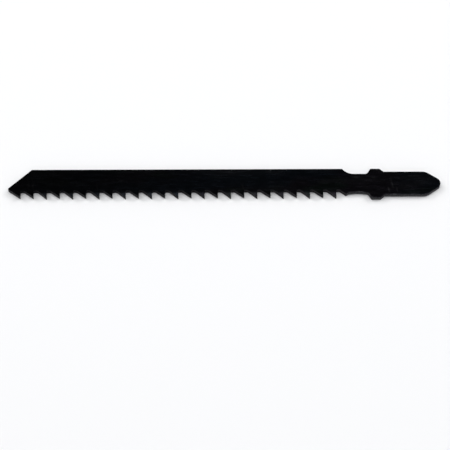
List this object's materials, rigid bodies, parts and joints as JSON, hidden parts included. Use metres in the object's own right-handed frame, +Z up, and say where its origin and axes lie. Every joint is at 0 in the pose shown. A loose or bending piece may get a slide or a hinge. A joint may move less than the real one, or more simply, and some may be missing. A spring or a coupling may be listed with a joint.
{
  "type": "jigsaw blade",
  "caption": "Flat steel jigsaw blade for wood with alternately set teeth, a clipped nose, a narrow neck and a lugged tang that locks in the saw's blade clamp.",
  "frame": {"origin": "middle of the blade's length and of its lugs' width, on the plane that the lowest set teeth touch", "axes": "+X along the blade from the nose to the end of the tang, +Y from the teeth to the back edge, +Z up through the steel's thickness"},
  "size_m": [0.1046, 0.0082, 0.0016],
  "materials": {
    "black_steel": "satin black oxide"
  },
  "bodies": {
    "root": {"blade": "black_steel"}
  },
  "joints": []
}
